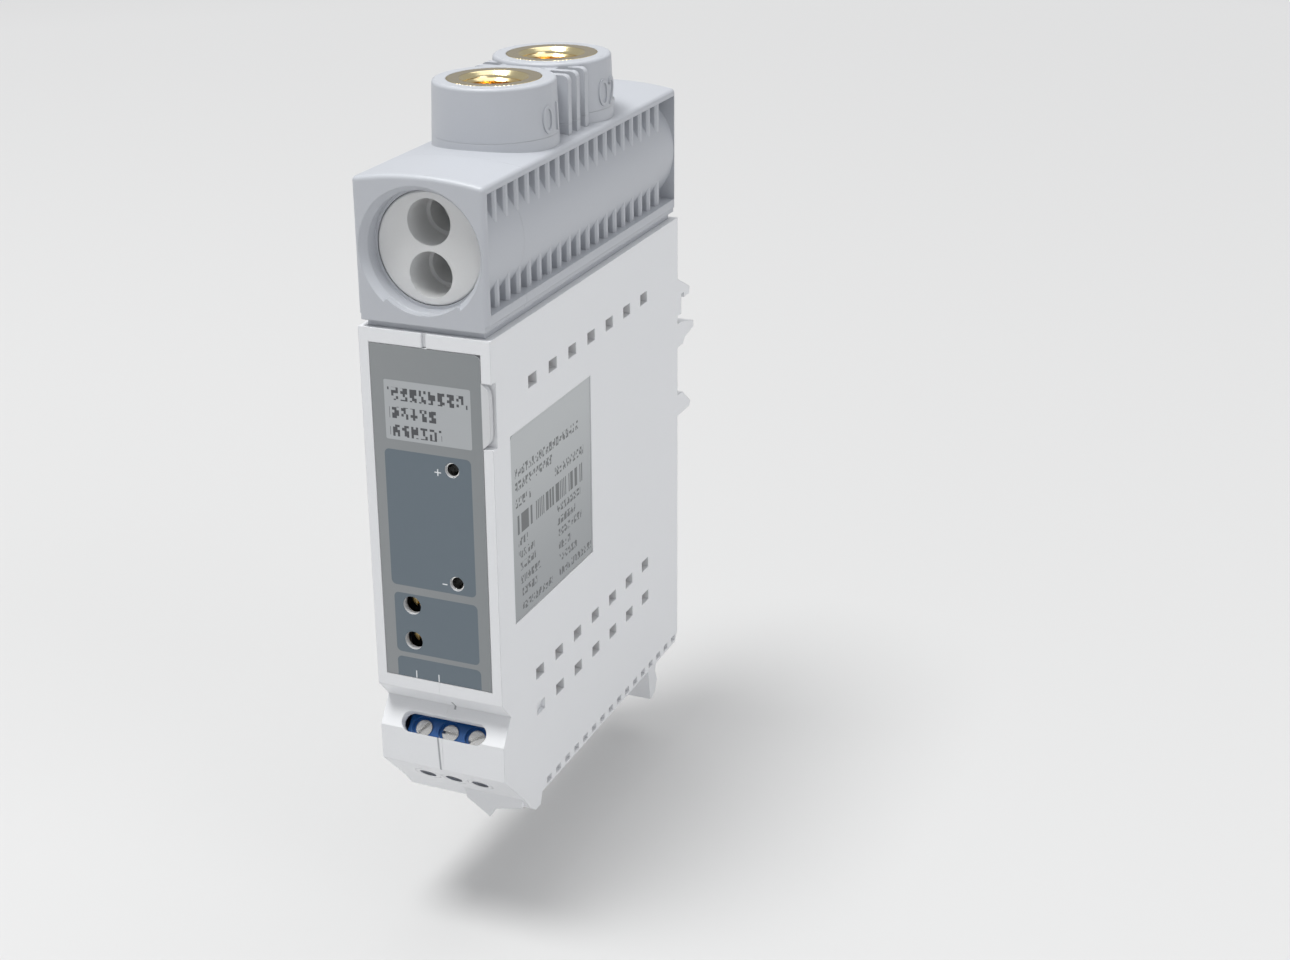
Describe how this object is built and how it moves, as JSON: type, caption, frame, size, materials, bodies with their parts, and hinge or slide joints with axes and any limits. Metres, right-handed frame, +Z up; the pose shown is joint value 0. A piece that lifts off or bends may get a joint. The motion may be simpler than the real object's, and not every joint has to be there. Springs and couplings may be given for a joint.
{
  "type": "differential pressure transmitter",
  "caption": "Slim channel-mounted differential pressure transmitter: white two-part housing, grey finned valve block with two brass-threaded port bosses and a turnable valve face.",
  "frame": {"origin": "middle of the 35 mm mounting channel in the plane where its flanges bear on the housing's back", "axes": "+X to the right as seen from the front, +Y from the front to the back, +Z up"},
  "size_m": [0.0234, 0.0885, 0.1382],
  "materials": {
    "block_grey": "satin",
    "shell_white": "satin",
    "rotor_grey": "satin",
    "panel_grey": "matt",
    "label_grey": "matt",
    "terminal_blue": "satin",
    "brass": "machined",
    "steel": "satin",
    "tin": "bright",
    "rubber": "matt",
    "board": "satin",
    "black_plastic": "matt",
    "sensor_plastic": "satin",
    "capacitor_can": "satin",
    "trimmer_blue": "satin",
    "surge_yellow": "gloss"
  },
  "bodies": {
    "housing": {"manifold_block": "block_grey", "block_collar": "block_grey", "port_tower": "block_grey", "rotor_stop_pin": "steel", "low_port_insert": "brass", "high_port_insert": "brass", "sensor_body": "sensor_plastic", "sensor_seal_1": "rubber", "sensor_seal_2": "rubber", "sensor_clamp": "steel", "sensor_screws": "steel", "sensor_leads": "tin", "main_board": "board", "board_screws": "steel", "front_board": "board", "board_link": "black_plastic", "upper_trimmer": "trimmer_blue", "lower_trimmer": "trimmer_blue", "upper_test_jack": "tin", "lower_test_jack": "tin", "filter_capacitor": "capacitor_can", "surge_capacitor": "surge_yellow", "signal_chip": "black_plastic", "voltage_regulator": "black_plastic", "terminal_block": "terminal_blue", "terminal_pins": "tin", "terminal_board": "board", "left_shell": "shell_white", "wire_guide": "shell_white", "right_shell": "shell_white", "front_panel": "panel_grey", "side_label": "label_grey", "latch_spring": "steel"},
    "valve": {"valve_rotor": "rotor_grey", "rotor_seal_1": "rubber", "rotor_seal_2": "rubber", "rotor_seal_3": "rubber"},
    "upper_adjuster": {"upper_trimmer_screw": "brass"},
    "lower_adjuster": {"lower_trimmer_screw": "brass"},
    "latch": {"foot_latch": "shell_white"},
    "screw_1": {"terminal_screw_1": "steel"},
    "cage_1": {"terminal_clamp_1": "tin"},
    "screw_2": {"terminal_screw_2": "steel"},
    "cage_2": {"terminal_clamp_2": "tin"},
    "screw_3": {"terminal_screw_3": "steel"},
    "cage_3": {"terminal_clamp_3": "tin"}
  },
  "joints": [
    {"name": "valve_turn", "type": "hinge", "parent": "housing", "child": "valve", "pos_m": [0, -0.0784, 0.0462], "axis": [0, 1, 0], "range_deg": [-38, 38]},
    {"name": "upper_trim", "type": "hinge", "parent": "housing", "child": "upper_adjuster", "pos_m": [-0.00445, -0.0797, -0.0148], "axis": [0, 1, 0], "continuous": true},
    {"name": "lower_trim", "type": "hinge", "parent": "housing", "child": "lower_adjuster", "pos_m": [-0.00445, -0.0797, -0.0213], "axis": [0, 1, 0], "continuous": true},
    {"name": "screw_1_turn", "type": "hinge", "parent": "housing", "child": "screw_1", "pos_m": [-0.00508, -0.0789, -0.0397], "axis": [0, -0.7071, 0.7071], "range_deg": [-1153, 0]},
    {"name": "cage_1_slide", "type": "slide", "parent": "housing", "child": "cage_1", "axis": [0, -0.7071, 0.7071], "range_m": [0, 0.0016]},
    {"name": "screw_2_turn", "type": "hinge", "parent": "housing", "child": "screw_2", "pos_m": [0, -0.0789, -0.0397], "axis": [0, -0.7071, 0.7071], "range_deg": [-1153, 0]},
    {"name": "cage_2_slide", "type": "slide", "parent": "housing", "child": "cage_2", "axis": [0, -0.7071, 0.7071], "range_m": [0, 0.0016]},
    {"name": "screw_3_turn", "type": "hinge", "parent": "housing", "child": "screw_3", "pos_m": [0.00508, -0.0789, -0.0397], "axis": [0, -0.7071, 0.7071], "range_deg": [-1153, 0]},
    {"name": "cage_3_slide", "type": "slide", "parent": "housing", "child": "cage_3", "axis": [0, -0.7071, 0.7071], "range_m": [0, 0.0016]},
    {"name": "latch_slide", "type": "slide", "parent": "housing", "child": "latch", "axis": [0, 0, -1], "range_m": [0, 0.0035], "stiffness_N_per_m": 800, "springref_m": -0.002, "deforming": ["latch_spring"]}
  ],
  "couplings": [
    {"joint": "screw_1_turn", "follows": "cage_1_slide", "rad_per_m": -12566},
    {"joint": "screw_2_turn", "follows": "cage_2_slide", "rad_per_m": -12566},
    {"joint": "screw_3_turn", "follows": "cage_3_slide", "rad_per_m": -12566}
  ]
}
